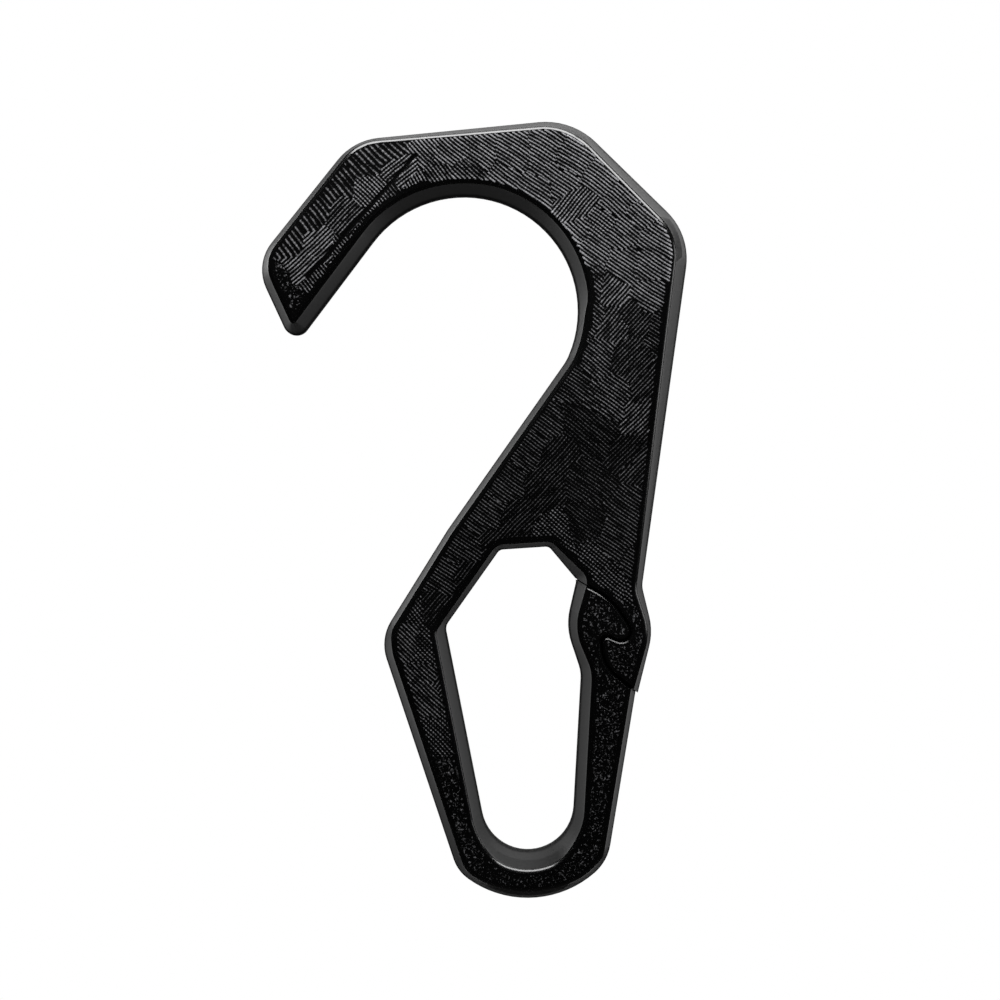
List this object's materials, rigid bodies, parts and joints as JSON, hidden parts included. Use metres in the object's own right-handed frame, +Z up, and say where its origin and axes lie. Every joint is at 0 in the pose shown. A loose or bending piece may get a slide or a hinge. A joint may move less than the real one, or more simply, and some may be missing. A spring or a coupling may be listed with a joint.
{
  "type": "paint bucket hook",
  "caption": "Moulded plastic hook with an open faceted hook for a ladder rung above a closed angular loop whose snap gate takes a bucket's handle.",
  "frame": {"origin": "centre of the rung seat's circle, at mid thickness", "axes": "+Z up, along the length, as the hook hangs; +X towards the gate; +Y through the thickness, the front face on the -Y side"},
  "size_m": [0.0707, 0.01, 0.1293],
  "materials": {
    "hook_plastic": "black moulded plastic, finely ridged faces and smooth satin side walls"
  },
  "bodies": {
    "root": {"hook": "hook_plastic"}
  },
  "joints": []
}
